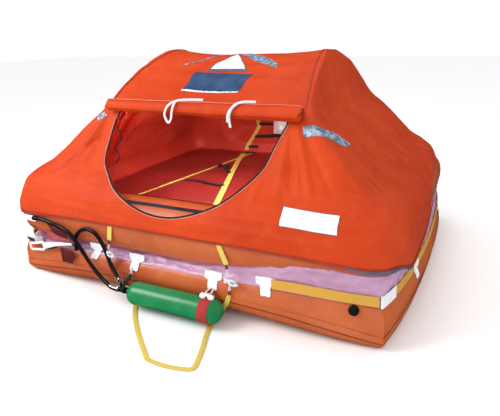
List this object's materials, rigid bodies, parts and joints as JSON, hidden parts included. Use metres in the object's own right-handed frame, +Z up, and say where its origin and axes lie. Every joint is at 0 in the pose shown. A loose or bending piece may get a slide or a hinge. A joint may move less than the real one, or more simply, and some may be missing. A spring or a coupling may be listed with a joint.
{
  "type": "canopied inflatable life raft",
  "caption": "Rectangular life raft of two stacked inflated rings with an inflated floor, a tent canopy with a front entrance, and a gas cylinder with hoses.",
  "frame": {"origin": "centre of the bounding box at floor level, without the free cords", "axes": "+Z up, entrance facing -Y, +X to the right as seen from the front"},
  "size_m": [2.315, 2.3953, 1.238],
  "materials": {
    "tube_rubber": "coated fabric, satin",
    "canopy_cloth": "coated cloth, satin",
    "floor_cloth": "coated cloth, matte",
    "band_film": "thin coated film",
    "yellow_webbing": "woven",
    "white_fabric": "coated fabric",
    "red_webbing": "woven",
    "cylinder_paint": "gloss paint",
    "black_rubber": "satin",
    "black_webbing": "woven",
    "clear_film": "cloudy film"
  },
  "bodies": {
    "root": {"lower_tube": "tube_rubber", "upper_tube": "tube_rubber", "coupling_band": "band_film", "floor": "floor_cloth", "canopy": "canopy_cloth", "entrance_roll": "canopy_cloth", "arch_left": "tube_rubber", "arch_right": "tube_rubber", "inner_liner": "canopy_cloth", "lifeline_front": "yellow_webbing", "lifeline_right": "yellow_webbing", "lifeline_back": "yellow_webbing", "lifeline_left": "yellow_webbing", "corner_patch_front_left": "white_fabric", "corner_patch_front_right": "white_fabric", "corner_patch_back_right": "white_fabric", "corner_patch_back_left": "white_fabric", "patch_front_1": "white_fabric", "patch_front_2": "white_fabric", "patch_front_3": "white_fabric", "patch_front_4": "white_fabric", "patch_right_1": "white_fabric", "patch_right_2": "white_fabric", "patch_left_1": "white_fabric", "patch_left_2": "white_fabric", "ladder_strap_left": "yellow_webbing", "ladder_strap_right": "yellow_webbing", "ladder_loop": "yellow_webbing", "gas_cylinder": "cylinder_paint", "valve_head": "black_rubber", "cylinder_strap": "red_webbing", "strap_buckle": "white_fabric", "hose_inlet_upper": "black_rubber", "hose_upper": "black_rubber", "hose_inlet_lower": "black_rubber", "hose_lower": "black_rubber", "drop_pocket": "floor_cloth", "towing_strap": "white_fabric", "towing_ring": "white_fabric", "valve_cap": "black_rubber", "inner_strap_left": "yellow_webbing", "inner_strap_right": "yellow_webbing", "inner_riser": "yellow_webbing", "inner_rung_1": "black_webbing", "inner_rung_2": "black_webbing", "inner_rung_3": "black_webbing", "ballast_front_left": "black_webbing", "ballast_front_right": "black_webbing", "ballast_back_right": "black_webbing", "ballast_back_left": "black_webbing", "stowage_bag": "clear_film"}
  },
  "joints": []
}
